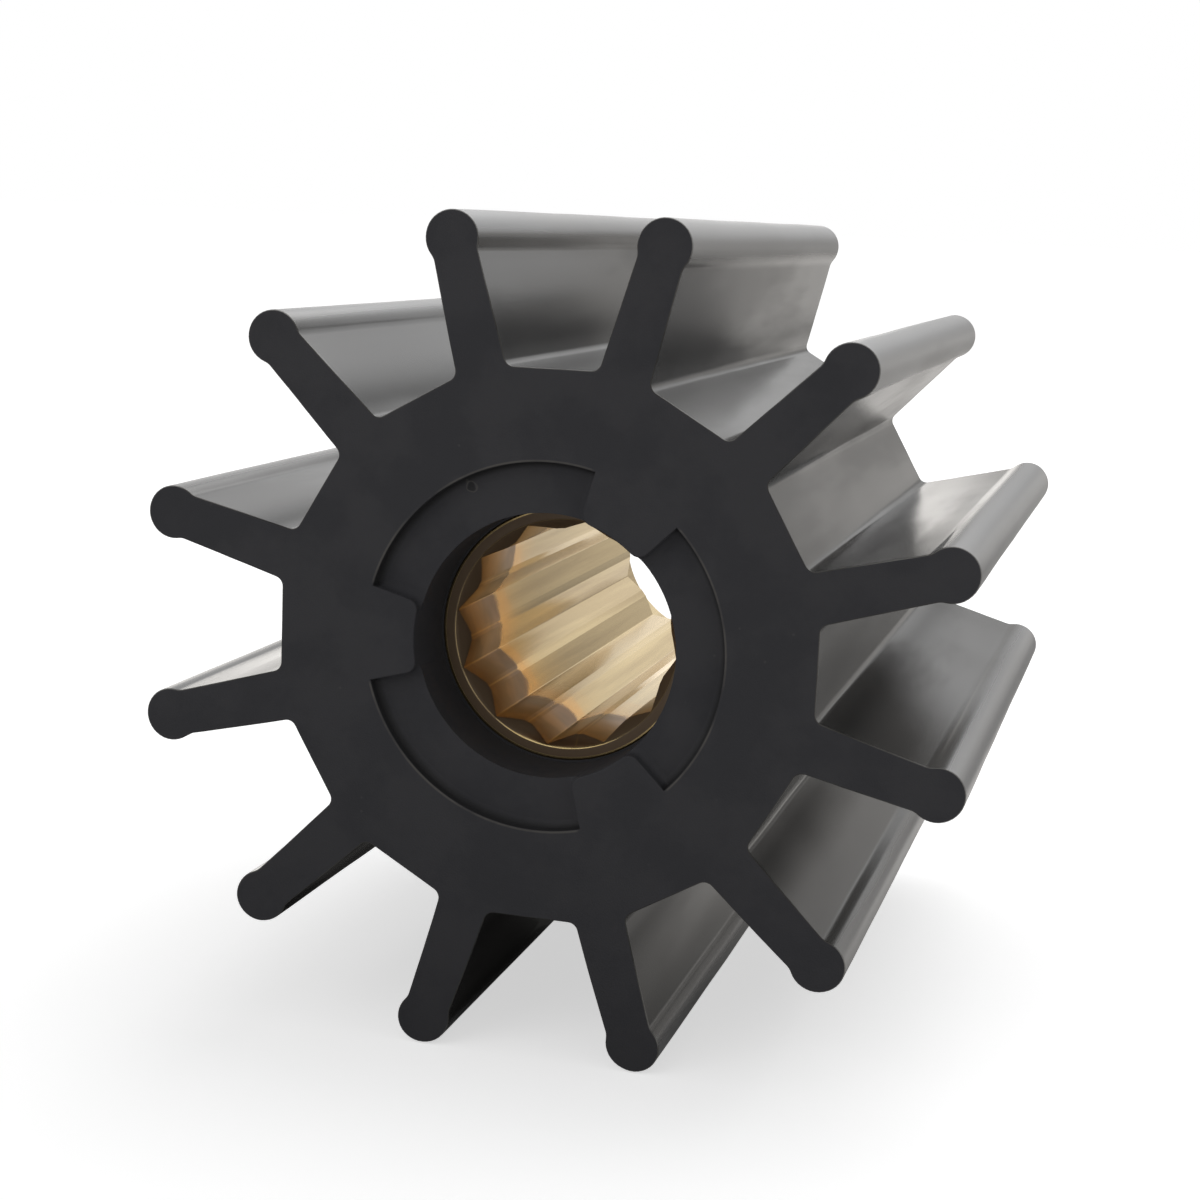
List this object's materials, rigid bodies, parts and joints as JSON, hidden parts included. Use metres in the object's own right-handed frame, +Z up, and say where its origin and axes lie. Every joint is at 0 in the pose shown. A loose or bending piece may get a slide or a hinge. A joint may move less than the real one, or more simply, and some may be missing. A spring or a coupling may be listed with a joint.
{
  "type": "flexible pump impeller",
  "caption": "Flexible rubber pump impeller: a thick hub with straight radial blades that end in round bulbs, and a bonded brass sleeve with a splined bore for the drive shaft.",
  "frame": {"origin": "on the floor, under the middle of the impeller as it lies on two of its blades", "axes": "+Y along the shaft from the front end to the rear end, +Z up, +X to the right when the front end faces the viewer"},
  "size_m": [0.092, 0.0924, 0.092],
  "materials": {
    "moulded_rubber": "matt charcoal rubber on the end faces, smoother and slightly glossy on the moulded blades",
    "insert_brass": "machined brass, bright along the splines and stained brown at the front mouth"
  },
  "bodies": {
    "root": {"rubber_impeller": "moulded_rubber", "splined_insert": "insert_brass"}
  },
  "joints": []
}
